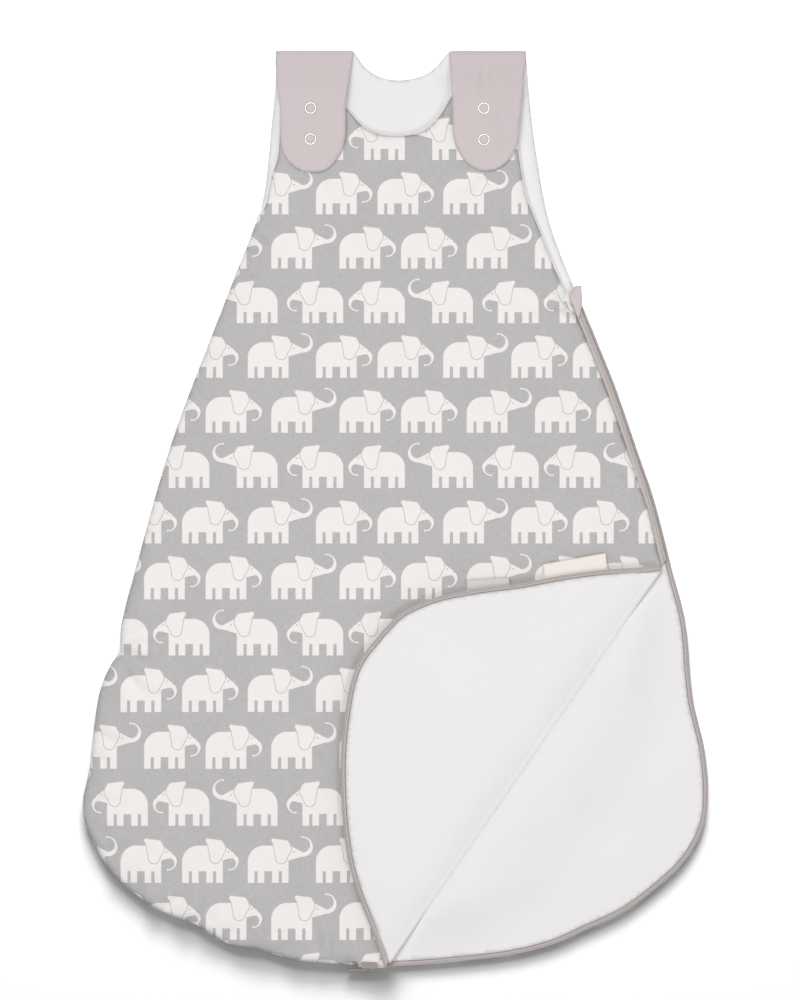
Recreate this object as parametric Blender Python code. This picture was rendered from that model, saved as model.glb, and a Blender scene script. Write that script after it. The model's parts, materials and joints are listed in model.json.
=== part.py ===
"""A padded baby sleeping bag that lies on its back, with its lower right corner unzipped and turned back.

The frame is in metres: +X is towards the zipped side, +Y towards the head and +Z up through the
thickness. The origin is the middle of the underside. Sizes below are in millimetres.
"""

import math

import bmesh
import bpy
from mathutils import Vector
from mathutils.geometry import tessellate_polygon

MM = 0.001

# The whole bag, and the stack of its layers from the floor up.
HALF_LENGTH = 350.0  # origin to the shoulder folds, and to the hem
CLOTH = 0.8  # thickness of one fabric layer
WADDING = 4.1  # thickness of the quilted filling
GAP = 0.3  # between pieces that touch
PANELS_APART = 1.4  # room between the back and the front, for the snaps' back rings

BACK_OUTER_Z = 0.0
BACK_PADDING_Z = BACK_OUTER_Z + CLOTH + GAP
BACK_LINING_Z = BACK_PADDING_Z + WADDING + GAP
BACK_TOP = BACK_LINING_Z + CLOTH
FRONT_LINING_Z = BACK_TOP + PANELS_APART
FRONT_PADDING_Z = FRONT_LINING_Z + CLOTH + GAP
FRONT_OUTER_Z = FRONT_PADDING_Z + WADDING + GAP
FRONT_TOP = FRONT_OUTER_Z + CLOTH

# The zip: a woven tape with a row of teeth along its free edge.
TAPE_WIDTH = 3.4
TAPE_THICK = 0.6
TEETH_WIDTH = 1.5
TEETH_INSET = 0.2  # from the tape's free edge
TEETH_THICK = 1.4
EDGE_MARGIN = 0.3  # the tape's free edge lies this far inside the hem's line
BAND = EDGE_MARGIN + TAPE_WIDTH + GAP  # what the zip takes off a panel's edge
TEETH_BACK_Z = BACK_TOP - TEETH_THICK
TAPE_BACK_Z = TEETH_BACK_Z - GAP - TAPE_THICK
TEETH_FRONT_Z = FRONT_LINING_Z
TAPE_FRONT_Z = TEETH_FRONT_Z + TEETH_THICK + GAP

# The turned-back corner hinges on a diagonal fold that lies just above the front.
FOLD_TOP = Vector((202.6, -41.9))
FOLD_BOTTOM = Vector((-8.2, -347.0))
FOLD_Z = FRONT_TOP + 0.4
FOLD_MARGIN = 0.4  # a panel's cut edge stays this far from the fold line
BEYOND_FOLD = [Vector((260, -60)), Vector((60, -400))]  # corners well to the fold's lower right

# The straps fold forward at the shoulders, over the front.
STRAP_LINING_Z = 18.1
STRAP_OUTER_Z = STRAP_LINING_Z + CLOTH + GAP
STRAP_OUTER_THICK = 1.0
STRAP_TOP = STRAP_OUTER_Z + STRAP_OUTER_THICK
SNAP_CENTRES = {"left": ((-64.7, 305.8), (-64.7, 282.3)), "right": ((66.9, 305.7), (66.9, 281.8))}
SNAP_SIDES = 16
SNAP_RING_HEIGHT = 0.8
SNAP_SOCKET_DEPTH = 2.5
# Profiles of the snaps' pieces, as radius and height above the piece's foot.
SNAP_RING = [(3.1, 0), (4.4, 0), (4.4, 0.5), (4.0, 0.8), (3.5, 0.8), (3.1, 0.5)]
SNAP_SOCKET = [(2.3, 0), (4.4, 0), (4.4, 2.5), (0, 2.5), (0, 1.8), (2.3, 1.8)]
SNAP_STUD = [(0, 0), (4.2, 0), (4.2, 0.7), (1.6, 0.7), (1.8, 2.0), (1.4, 2.4), (0, 2.4)]
SNAP_BACK_RING = [(3.0, 0), (4.4, 0), (4.4, 0.8), (3.0, 0.8)]

OUTLINE_STEP = 14.0  # spacing of the points along a sewn edge
STRAP_STEP = 8.0  # and along a strap's edge
ZIP_END_STEP = 4.0  # and along the closed end of the zip

# How far the hidden layers stay inside a panel's edge.
PADDING_INSET = 4.0
PADDING_INSET_AT_ZIP = BAND + 3.0
LINING_INSET = 0.6
FRONT_SIDE_INSET = 2 * BAND - 0.6  # the front's cloths end this far from the side seam's line

# The bag's edge in stretches, clockwise from the left shoulder's outer corner when seen from above.
ARM_LEFT = [(-104.5, 224), (-99.5, 249), (-95, 294.5), (-92, 325), (-91.7, 350)]
NECK_BACK = [
    (-31.5, 350), (-23.6, 339), (-14, 332), (-1.4, 328.8), (15.4, 330.3), (26, 335), (40.3, 350),
]
ARM_RIGHT = [
    (99.6, 350), (101.4, 325), (104.4, 294.5), (111.3, 249), (118, 218.5), (129, 188), (137.5, 168),
]
SIDE_RIGHT = [(137.5, 168), (148.2, 142), (166.6, 96.6), (182.4, 51), (197.8, 5.3), (209.8, -42)]
HEM_RIGHT = [
    (209.8, -42), (220.6, -84), (223.8, -118), (227, -147), (234, -175), (237.4, -200), (238, -216),
    (236.6, -234), (229.4, -253), (217.5, -270), (198, -288), (172.7, -306.4), (142, -320.6),
    (119.6, -330.5), (85, -338.9), (29.8, -345), (-6.7, -347),
]
HEM_END = [(-6.7, -347), (-21, -346.4), (-36.4, -345.3)]
HEM_LEFT = [
    (-36.4, -345.3), (-78.5, -341.5), (-102.6, -334), (-126.4, -330), (-152.3, -315), (-183.6, -302),
    (-214, -277.4), (-229.5, -253.4), (-237.8, -232), (-238, -219), (-232.8, -195), (-230.8, -174),
    (-225.3, -137.3), (-217.6, -118.3), (-209.5, -107),
]
SIDE_LEFT = [(-209.5, -107), (-208.7, -86), (-197, -40), (-171, 51), (-136.8, 142), (-104.5, 224)]

# The front's own upper edge: left armhole, left tab, neckline, right tab, right armhole.
FRONT_ARM_LEFT = [(-104.5, 224), (-99.5, 231), (-94.4, 253), (-89.5, 270), (-88, 290), (-87, 310)]
FRONT_NECK = [
    (-81, 325), (-62, 331), (-46, 325), (-38.1, 307.8), (-32.3, 300), (-24.5, 292), (-12.8, 286.6),
    (4.7, 285.2), (19.9, 288.4), (31.8, 298.3), (42, 314.6), (51, 327), (67, 331), (85, 325),
]
FRONT_ARM_RIGHT = [
    (92, 309), (93, 276), (95.7, 255.7), (99.8, 237), (110, 211.6), (118.6, 189.5), (127.6, 169),
]

# The turned-back corner's free edge, from the top of the fold round to the bottom of it.
FLAP_EDGE = [
    (200.6, -40.6), (185.8, -42.4), (155.4, -44.5), (125, -48.7), (94.5, -54.4), (64.1, -58.4),
    (33.6, -64.2), (18.4, -69.6), (3.2, -77.4), (-7.4, -87.6), (-17.2, -99), (-27.8, -113), (-34.2, -129),
    (-39, -155), (-41.8, -182), (-42, -207), (-40.2, -238), (-35.8, -268), (-27.2, -296), (-19.6, -314.9),
    (-14.6, -328.6), (-8.8, -347),
]

STRAP_OUTLINES = {
    "left": [
        (-91.7, 349.7), (-90.4, 324), (-88, 305), (-87.6, 282), (-83.8, 269), (-75.5, 260.6),
        (-65, 257.2), (-53.5, 258.8), (-43.5, 269), (-38.4, 284), (-37.6, 312.8), (-33, 341),
        (-31, 349.7),
    ],
    "right": [
        (40.2, 349.7), (41.4, 336), (42.8, 312.8), (43.9, 284), (48.9, 271), (57.5, 261.6),
        (69.1, 258), (79.3, 261), (87.7, 269.4), (92.8, 283), (94.9, 305), (97.8, 336), (99.3, 349.7),
    ],
}

# Where the zip begins and ends, its small stops, and the cloth garage over its top.
ZIP_START = 10.0  # the teeth begin this far below the underarm's corner
ZIP_END_X = -29.0
BOTTOM_STOP = (-31.4, -344.1)
BOTTOM_STOP_SIZE = (2.0, 2.6)
TOP_STOP_BACK = (139.2, 159.6)
TOP_STOP_SIDE = (135.2, 157.4)
TOP_STOP_SIZE = (2.2, 2.0)
STOP_ROUNDING = 0.3
GARAGE_Z = 12.0
GARAGE_THICK = 1.0
GARAGE = [(131.6, 163.6), (136.4, 171.2), (140.9, 171.2), (141.7, 157.5), (139, 145.4)]
WOVEN_LABEL = [(111.6, -40.4), (159.4, -31.8), (161.4, -45.6), (113.2, -52.4)]
CARE_LABEL = [(53.4, -52.5), (86.1, -50.4), (86.8, -57.2), (55, -61.8)]
LABEL_THICK = 0.5

# The zip's slider, parked at the bottom end of the zip, and its pull.
SLIDER_X = (-26.0, -14.0)
SLIDER_FACE_Y = -347.3  # the inner side of the plate that lies outside the teeth
SLIDER_PLATE = 0.8
SLIDER_MOUTH_Y = -343.0  # how far the flanges reach in over the tapes
PULL_PIVOT = (-17.5, -349.15)
PULL_LENGTH = 19.0
PULL_EYE_RADIUS = 0.85
PULL_HOLE_RADIUS = 0.6
PULL_Z = (5.3, 8.7)
LUG_THICK = 0.8
PIN_RADIUS = 0.4

COLOURS = {
    "print_cotton": ((0.50, 0.50, 0.51), 0.9, 0.0),
    "lining": ((0.84, 0.83, 0.84), 0.95, 0.0),
    "wadding": ((0.90, 0.90, 0.88), 1.0, 0.0),
    "trim": ((0.62, 0.56, 0.56), 0.85, 0.0),
    "tape": ((0.40, 0.37, 0.36), 0.8, 0.0),
    "teeth": ((0.52, 0.49, 0.47), 0.5, 0.0),
    "metal": ((0.80, 0.79, 0.77), 0.25, 1.0),
    "label": ((0.80, 0.72, 0.60), 0.8, 0.0),
}


def material(name):
    """The named material, made the first time it is asked for."""
    made = bpy.data.materials.get(name)
    if made:
        return made
    colour, roughness, metallic = COLOURS[name]
    made = bpy.data.materials.new(name)
    made.use_nodes = True
    shader = made.node_tree.nodes["Principled BSDF"]
    shader.inputs["Base Color"].default_value = (*colour, 1.0)
    shader.inputs["Roughness"].default_value = roughness
    shader.inputs["Metallic"].default_value = metallic
    return made


def add_object(name, mesh, finish, parent=None):
    """Put a mesh that is in the bag's frame in the scene, under the empty on its joint's axis."""
    mesh.materials.append(material(finish))
    made = bpy.data.objects.new(name, mesh)
    bpy.context.scene.collection.objects.link(made)
    if parent:
        made.parent = parent
        made.matrix_parent_inverse = parent.matrix_world.inverted()
    return made


def joint_empty(name, place):
    """An empty on a joint's axis, which the moving pieces hang from."""
    made = bpy.data.objects.new(name, None)
    bpy.context.scene.collection.objects.link(made)
    made.location = Vector(place) * MM
    bpy.context.view_layer.update()
    return made


def smooth(keys, step=OUTLINE_STEP):
    """Points about a step apart along a smooth curve through the key points."""
    points = [Vector(k) for k in keys]
    first = points[0] * 2 - points[1]
    last = points[-1] * 2 - points[-2]
    padded = [first, *points, last]
    curve = []
    for p0, p1, p2, p3 in zip(padded, padded[1:], padded[2:], padded[3:]):
        pieces = max(1, round((p2 - p1).length / step))
        for i in range(pieces):
            t = i / pieces
            tangent1 = (p2 - p0) / 2
            tangent2 = (p3 - p1) / 2
            curve.append(
                p1 * (2 * t**3 - 3 * t**2 + 1)
                + tangent1 * (t**3 - 2 * t**2 + t)
                + p2 * (3 * t**2 - 2 * t**3)
                + tangent2 * (t**3 - t**2)
            )
    return [*curve, points[-1]]


def inward(curve, distance):
    """The curve moved to its right-hand side, which is into the bag on every clockwise stretch."""
    moved = []
    for i, point in enumerate(curve):
        along = (curve[min(i + 1, len(curve) - 1)] - curve[max(i - 1, 0)]).normalized()
        moved.append(point + Vector((along.y, -along.x)) * distance)
    return moved


def band(curve, near, far):
    """The closed strip between two distances inside a curve."""
    return [*inward(curve, near), *reversed(inward(curve, far))]


def left_of_fold(outline, margin=FOLD_MARGIN):
    """The part of a closed outline that lies on the fold line's upper left side."""
    along = (FOLD_TOP - FOLD_BOTTOM).normalized()
    normal = Vector((-along.y, along.x))
    side = [(p - FOLD_BOTTOM).dot(normal) - margin for p in outline]
    kept = []
    for i, (point, here) in enumerate(zip(outline, side)):
        after = outline[(i + 1) % len(outline)]
        there = side[(i + 1) % len(outline)]
        if here >= 0:
            kept.append(point)
        if (here >= 0) != (there >= 0):
            kept.append(point.lerp(after, here / (here - there)))
    return kept


def tidy(outline, shortest=0.4):
    """The outline without points that all but touch the one before."""
    kept = []
    for point in outline:
        if not kept or (point - kept[-1]).length > shortest:
            kept.append(point)
    if (kept[0] - kept[-1]).length <= shortest:
        kept.pop()
    return kept


def slab(name, outline, bottom, thick, finish, parent=None):
    """A flat piece: a closed outline extruded upwards."""
    outline = tidy([Vector(p) for p in outline])
    mesh = bmesh.new()
    low = [mesh.verts.new((p.x * MM, p.y * MM, bottom * MM)) for p in outline]
    high = [mesh.verts.new((p.x * MM, p.y * MM, (bottom + thick) * MM)) for p in outline]
    for corners in tessellate_polygon([[p.to_3d() for p in outline]]):
        mesh.faces.new([low[i] for i in corners])
        mesh.faces.new([high[i] for i in corners])
    for i in range(len(outline)):
        j = (i + 1) % len(outline)
        mesh.faces.new((low[i], low[j], high[j], high[i]))
    bmesh.ops.recalc_face_normals(mesh, faces=mesh.faces)
    data = bpy.data.meshes.new(name)
    mesh.to_mesh(data)
    mesh.free()
    return add_object(name, data, finish, parent)


def turned(name, centre, profile, finish, parent=None, sides=SNAP_SIDES):
    """A round piece: a closed profile of (radius, height) turned about an upright axis."""
    mesh = bmesh.new()
    rings = []
    for radius, height in profile:
        if radius == 0:
            rings.append([mesh.verts.new((centre[0] * MM, centre[1] * MM, height * MM))] * sides)
            continue
        ring = []
        for i in range(sides):
            angle = 2 * math.pi * i / sides
            x = centre[0] + radius * math.cos(angle)
            y = centre[1] + radius * math.sin(angle)
            ring.append(mesh.verts.new((x * MM, y * MM, height * MM)))
        rings.append(ring)
    for ring, following in zip(rings, [*rings[1:], rings[0]]):
        for i in range(sides):
            j = (i + 1) % sides
            corners = []
            for corner in (ring[i], ring[j], following[j], following[i]):
                if corner not in corners:
                    corners.append(corner)
            if len(corners) > 2:
                mesh.faces.new(corners)
    bmesh.ops.recalc_face_normals(mesh, faces=mesh.faces)
    data = bpy.data.meshes.new(name)
    mesh.to_mesh(data)
    mesh.free()
    data.shade_smooth()
    data.set_sharp_from_angle(angle=math.radians(40))
    return add_object(name, data, finish, parent)


def block_mesh(low, high):
    """A box between two corners, as a mesh."""
    mesh = bmesh.new()
    bmesh.ops.create_cube(mesh, size=1.0)
    for vertex in mesh.verts:
        for k in range(3):
            vertex.co[k] = (high[k] if vertex.co[k] > 0 else low[k]) * MM
    data = bpy.data.meshes.new("block")
    mesh.to_mesh(data)
    mesh.free()
    return data


def joined(name, meshes, finish, parent=None):
    """Several overlapping solids made into one by Boolean unions."""
    made = add_object(name, meshes[0], finish, parent)
    for number, mesh in enumerate(meshes[1:]):
        tool = bpy.data.objects.new(f"{name}_guide_{number}", mesh)
        bpy.context.scene.collection.objects.link(tool)
        tool.hide_render = True
        tool.display_type = "WIRE"
        union = made.modifiers.new(f"union_{number}", "BOOLEAN")
        union.operation = "UNION"
        union.object = tool
    return made


def round_bar(centre, radius, bottom, top, sides=SNAP_SIDES):
    """An upright round bar, as a mesh."""
    mesh = bmesh.new()
    across, height = radius * MM, (top - bottom) * MM
    bmesh.ops.create_cone(
        mesh, cap_ends=True, segments=sides, radius1=across, radius2=across, depth=height
    )
    middle = Vector((centre[0], centre[1], (bottom + top) / 2)) * MM
    bmesh.ops.translate(mesh, vec=middle, verts=mesh.verts)
    data = bpy.data.meshes.new("round_bar")
    mesh.to_mesh(data)
    mesh.free()
    return data


def panel_outline(edge_by_stretch):
    """A closed outline from stretches of edge, each moved in by its own distance."""
    outline = []
    for curve, distance in edge_by_stretch:
        outline += inward(curve, distance)
    return outline


def make_back():
    """The back panel: print outside, wadding, lining, all in one outline with a hollow neck."""
    arms_and_neck = (smooth(ARM_LEFT), smooth(NECK_BACK), smooth(ARM_RIGHT))
    zipped = (smooth(SIDE_RIGHT), smooth(HEM_RIGHT), smooth(HEM_END))
    sewn = (smooth(HEM_LEFT), smooth(SIDE_LEFT))

    def outline(at_arms, at_zip, at_seam):
        return panel_outline(
            [(c, at_arms) for c in arms_and_neck]
            + [(c, at_zip) for c in zipped]
            + [(c, at_seam) for c in sewn]
        )

    slab("back_outer", outline(0, 0, 0), BACK_OUTER_Z, CLOTH, "print_cotton")
    wadding = outline(PADDING_INSET, PADDING_INSET_AT_ZIP, PADDING_INSET)
    slab("back_padding", wadding, BACK_PADDING_Z, WADDING, "wadding")
    slab("back_lining", outline(LINING_INSET, BAND, LINING_INSET), BACK_LINING_Z, CLOTH, "lining")


def front_outline(at_top, at_side_zip, at_end, at_seam):
    """The front panel left of the diagonal fold."""
    upper = [smooth(FRONT_ARM_LEFT), smooth(FRONT_NECK), smooth(FRONT_ARM_RIGHT)]
    outline = panel_outline([(c, at_top) for c in upper])
    outline += inward(smooth(SIDE_RIGHT), at_side_zip)
    outline += BEYOND_FOLD
    outline += panel_outline(
        [(smooth(HEM_END), at_end), (smooth(HEM_LEFT), at_seam), (smooth(SIDE_LEFT), at_seam)]
    )
    return left_of_fold(outline)


def make_front():
    """The front panel: the same three layers, with tabs under the straps."""
    side = FRONT_SIDE_INSET
    cloth = front_outline(0, side, 0, 0)
    wadding = front_outline(PADDING_INSET, side + 3, PADDING_INSET_AT_ZIP, PADDING_INSET)
    lining = front_outline(LINING_INSET, side, BAND + 1.6, LINING_INSET)
    slab("front_outer", cloth, FRONT_OUTER_Z, CLOTH, "print_cotton")
    slab("front_padding", wadding, FRONT_PADDING_Z, WADDING, "wadding")
    slab("front_lining", lining, FRONT_LINING_Z, CLOTH, "lining")


def turned_back(bottom, thick):
    """Where a layer of the front lies once the corner is turned back: its new underside."""
    return 2 * FOLD_Z - bottom - thick


def make_flap(hinge):
    """The front's lower right corner, turned back over the front with its lining up."""
    edge = smooth(FLAP_EDGE)
    layers = (
        ("flap_outer", BAND, FRONT_OUTER_Z, CLOTH, "print_cotton"),
        ("flap_padding", PADDING_INSET_AT_ZIP, FRONT_PADDING_Z, WADDING, "wadding"),
        ("flap_lining", BAND, FRONT_LINING_Z, CLOTH, "lining"),
    )
    for name, distance, bottom, thick, finish in layers:
        outline = left_of_fold([*inward(edge, -distance), *reversed(BEYOND_FOLD)])
        slab(name, outline, turned_back(bottom, thick), thick, finish, hinge)


def zip_row(name, curve, near, on_left, tape_z, teeth_z, hinge=None):
    """One side of the zip: its tape, and the teeth along the tape's free edge."""
    sign = -1 if on_left else 1
    teeth_near = near + TEETH_INSET
    tape = band(curve, sign * near, sign * (near + TAPE_WIDTH))
    teeth = band(curve, sign * teeth_near, sign * (teeth_near + TEETH_WIDTH))
    if name != "back":
        tape = left_of_fold(tape)
        teeth = left_of_fold(teeth)
    slab(f"zip_tape_{name}", tape, tape_z, TAPE_THICK, "tape", hinge)
    slab(f"zip_teeth_{name}", teeth, teeth_z, TEETH_THICK, "teeth", hinge)


def stop(name, at, size, bottom, top):
    """A small metal stop, between two heights."""
    low = (at[0] - size[0] / 2, at[1] - size[1] / 2, bottom)
    high = (at[0] + size[0] / 2, at[1] + size[1] / 2, top)
    made = add_object(name, block_mesh(low, high), "metal")
    rounding = made.modifiers.new("rounding", "BEVEL")
    rounding.width = STOP_ROUNDING * MM
    rounding.segments = 1


def make_zip(hinge):
    """Both rows of the zip, split where the corner folds, with its stops and its garage."""
    side = [p for p in smooth(SIDE_RIGHT) if p.y < SIDE_RIGHT[0][1] - ZIP_START]
    chain_end = [p for p in smooth(HEM_END, ZIP_END_STEP) if p.x > ZIP_END_X]
    hem = smooth(HEM_RIGHT)
    zip_row("back", [*side, *hem[1:], *chain_end[1:]], EDGE_MARGIN, False, TAPE_BACK_Z, TEETH_BACK_Z)
    zip_row("side", side, BAND + 0.1, False, TAPE_FRONT_Z, TEETH_FRONT_Z)
    zip_row("end", chain_end, EDGE_MARGIN, False, TAPE_FRONT_Z, TEETH_FRONT_Z)
    zip_row(
        "flap",
        smooth(FLAP_EDGE),
        EDGE_MARGIN,
        True,
        turned_back(TAPE_FRONT_Z, TAPE_THICK),
        turned_back(TEETH_FRONT_Z, TEETH_THICK),
        hinge,
    )
    top_stop_thick = 1.6
    stop("zip_bottom_stop", BOTTOM_STOP, BOTTOM_STOP_SIZE, TAPE_BACK_Z - 0.4, TAPE_FRONT_Z + 1.0)
    stop("zip_top_stop_back", TOP_STOP_BACK, TOP_STOP_SIZE, TEETH_BACK_Z, TEETH_BACK_Z + top_stop_thick)
    stop("zip_top_stop_side", TOP_STOP_SIDE, TOP_STOP_SIZE, TEETH_FRONT_Z, TEETH_FRONT_Z + top_stop_thick)
    slab("zip_garage", GARAGE, GARAGE_Z, GARAGE_THICK, "trim")


def make_slider(carriage, pivot):
    """The slider, a channel round both rows of teeth with a wedge between them, and its pull."""
    bottom = TAPE_BACK_Z - GAP - SLIDER_PLATE
    top = TAPE_FRONT_Z + TAPE_THICK + GAP + SLIDER_PLATE
    back_y = SLIDER_FACE_Y - SLIDER_PLATE
    x0, x1 = SLIDER_X
    wedge_z = BACK_TOP + GAP, FRONT_LINING_Z - GAP
    px, py = PULL_PIVOT
    lug = PULL_EYE_RADIUS - 0.15
    lug_below, lug_above = PULL_Z[0] - GAP, PULL_Z[1] + GAP
    lugs = ((lug_below - LUG_THICK, lug_below), (lug_above, lug_above + LUG_THICK))
    meshes = [
        block_mesh((x0, back_y, bottom), (x1, SLIDER_FACE_Y, top)),
        block_mesh((x0, SLIDER_FACE_Y - 0.1, bottom), (x1, SLIDER_MOUTH_Y, bottom + SLIDER_PLATE)),
        block_mesh((x0, SLIDER_FACE_Y - 0.1, top - SLIDER_PLATE), (x1, SLIDER_MOUTH_Y, top)),
        block_mesh((x1 - 4, SLIDER_FACE_Y - 0.1, wedge_z[0]), (x1, SLIDER_MOUTH_Y, wedge_z[1])),
        *[block_mesh((px - lug, py - lug, z0), (px + lug, back_y + 0.1, z1)) for z0, z1 in lugs],
        round_bar(PULL_PIVOT, PIN_RADIUS, lugs[0][0] + 0.2, lugs[1][1] - 0.2, 10),
    ]
    joined("zip_slider", meshes, "metal", carriage)
    make_pull(pivot)


def make_pull(pivot):
    """The pull: a flat bar with a round eye on the slider's pin and a rounded free end."""
    px, py = PULL_PIVOT
    half = 0.5
    eye_sides = 16
    opening = math.asin(half / PULL_EYE_RADIUS)

    def round_pin(radius, angle):
        return Vector((px + radius * math.cos(angle), py + radius * math.sin(angle)))

    outer = [Vector((px - PULL_LENGTH, py + half)), Vector((px - PULL_LENGTH, py - half))]
    for i in range(eye_sides - 3):
        angle = math.pi + opening + (2 * math.pi - 2 * opening) * i / (eye_sides - 4)
        outer.append(round_pin(PULL_EYE_RADIUS, angle))
    hole = [round_pin(PULL_HOLE_RADIUS, -2 * math.pi * i / eye_sides) for i in range(eye_sides)]
    every = outer + hole
    mesh = bmesh.new()
    low = [mesh.verts.new((p.x * MM, p.y * MM, PULL_Z[0] * MM)) for p in every]
    high = [mesh.verts.new((p.x * MM, p.y * MM, PULL_Z[1] * MM)) for p in every]
    for corners in tessellate_polygon([[p.to_3d() for p in outer], [p.to_3d() for p in hole]]):
        mesh.faces.new([low[i] for i in corners])
        mesh.faces.new([high[i] for i in corners])
    for start, count in ((0, len(outer)), (len(outer), len(hole))):
        for i in range(count):
            a, b = start + i, start + (i + 1) % count
            mesh.faces.new((low[a], low[b], high[b], high[a]))
    bmesh.ops.recalc_face_normals(mesh, faces=mesh.faces)
    data = bpy.data.meshes.new("zip_pull")
    mesh.to_mesh(data)
    mesh.free()
    add_object("zip_pull", data, "metal", pivot)


def raised(profile, height):
    """A turned piece's profile, moved up."""
    return [(radius, height + z) for radius, z in profile]


def make_snap(side, number, centre, hinge):
    """One snap: ring and socket clamp the strap, stud and back ring clamp the front."""
    name = f"snap_{side}_{number}"
    ring_z = STRAP_TOP + GAP
    socket_z = STRAP_LINING_Z - GAP - SNAP_SOCKET_DEPTH
    stud_z = FRONT_TOP + GAP
    back_z = FRONT_LINING_Z - GAP - SNAP_RING_HEIGHT
    turned(f"{name}_ring", centre, raised(SNAP_RING, ring_z), "metal", hinge)
    turned(f"{name}_socket", centre, raised(SNAP_SOCKET, socket_z), "metal", hinge)
    turned(f"{name}_stud", centre, raised(SNAP_STUD, stud_z), "metal")
    turned(f"{name}_back_ring", centre, raised(SNAP_BACK_RING, back_z), "metal")


def make_straps():
    """Both shoulder straps, folded forward and snapped to the front."""
    axis_z = (STRAP_TOP + GAP + SNAP_RING_HEIGHT) / 2 + 0.2
    for side, keys in STRAP_OUTLINES.items():
        hinge = joint_empty(f"hinge_strap_{side}", (0, HALF_LENGTH, axis_z))
        outline = smooth(keys, STRAP_STEP)
        slab(f"strap_{side}_lining", outline, STRAP_LINING_Z, CLOTH, "trim", hinge)
        slab(f"strap_{side}_outer", outline, STRAP_OUTER_Z, STRAP_OUTER_THICK, "trim", hinge)
        for number, centre in enumerate(SNAP_CENTRES[side], 1):
            make_snap(side, number, centre, hinge)


def main():
    for old in list(bpy.data.objects):
        bpy.data.objects.remove(old, do_unlink=True)
    fold = joint_empty("hinge_flap", (*FOLD_BOTTOM, FOLD_Z))
    carriage = joint_empty("slide_zip", (SLIDER_X[0], SLIDER_FACE_Y, TAPE_BACK_Z))
    pivot = joint_empty("hinge_pull", (*PULL_PIVOT, PULL_Z[0]))
    make_back()
    make_front()
    make_flap(fold)
    make_zip(fold)
    make_slider(carriage, pivot)
    make_straps()
    for name, outline in (("woven_label", WOVEN_LABEL), ("care_label", CARE_LABEL)):
        slab(name, outline, FOLD_Z + 0.2, LABEL_THICK, "label", fold)


main()
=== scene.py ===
"""The looks of the baby sleeping bag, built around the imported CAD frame.

Lengths inside the script are in millimetres in the frame's axes; meshes are made in metres.
"""

import json
import math
from functools import reduce

import bpy
import numpy as np
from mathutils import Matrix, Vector
from mathutils.geometry import delaunay_2d_cdt
from mathutils.kdtree import KDTree


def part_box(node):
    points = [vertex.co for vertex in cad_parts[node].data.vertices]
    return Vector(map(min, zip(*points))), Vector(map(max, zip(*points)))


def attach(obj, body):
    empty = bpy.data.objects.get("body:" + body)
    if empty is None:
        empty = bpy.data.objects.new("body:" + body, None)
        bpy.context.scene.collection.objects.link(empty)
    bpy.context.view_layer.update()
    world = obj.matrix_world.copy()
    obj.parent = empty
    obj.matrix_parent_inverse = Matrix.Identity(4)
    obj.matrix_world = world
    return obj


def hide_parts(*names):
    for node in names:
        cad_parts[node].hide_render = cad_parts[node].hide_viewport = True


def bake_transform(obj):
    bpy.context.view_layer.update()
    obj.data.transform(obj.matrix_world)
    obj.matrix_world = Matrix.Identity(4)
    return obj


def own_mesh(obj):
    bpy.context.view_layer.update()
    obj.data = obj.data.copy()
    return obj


MM = 0.001


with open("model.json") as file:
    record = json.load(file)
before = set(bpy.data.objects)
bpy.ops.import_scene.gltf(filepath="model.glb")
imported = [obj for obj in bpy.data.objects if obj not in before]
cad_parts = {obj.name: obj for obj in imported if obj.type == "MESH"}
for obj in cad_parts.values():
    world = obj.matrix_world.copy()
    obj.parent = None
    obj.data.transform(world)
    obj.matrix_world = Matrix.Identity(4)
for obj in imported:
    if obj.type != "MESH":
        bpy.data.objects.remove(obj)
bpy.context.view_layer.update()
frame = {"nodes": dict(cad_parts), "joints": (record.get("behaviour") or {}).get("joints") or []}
JOINTS = {joint["name"]: joint for joint in frame["joints"]}


def node_box(node):
    """A CAD node's lowest and highest corners, in millimetres."""
    low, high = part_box(node)
    return np.array(low) / MM, np.array(high) / MM


# Heights of the CAD layers, and the corner's fold axis.
BACK_LEVEL = 5.0  # the back's wadding keeps its top under this height
BACK_TOP = node_box("back_lining")[1][2]
FRONT_BOTTOM = node_box("front_lining")[0][2]
FRONT_TOP = node_box("front_outer")[1][2]
FLAP_BOTTOM = node_box("flap_outer")[0][2]
STRAP_BOTTOM = node_box("strap_left_lining")[0][2]
STRAP_TOP = node_box("strap_left_outer")[1][2]

FOLD_POINT = np.array(JOINTS["flap_fold"]["pos_m"]) / MM
FOLD_ALONG = np.array(JOINTS["flap_fold"]["axis"][:2])
FOLD_LEFT = np.array((-FOLD_ALONG[1], FOLD_ALONG[0]))

FINE = 3.0  # spacing of the points of a cloth that shows
TINY = 1.5  # spacing of the points of a label
COARSE = 9.0  # spacing of the points of a piece that is hidden
CLOTH = 0.6  # thickness of a cloth
LABEL_THICK = 0.3
TEETH_PITCH = 1.3
MARK_STEP = 0.5


# ---- outlines


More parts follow.
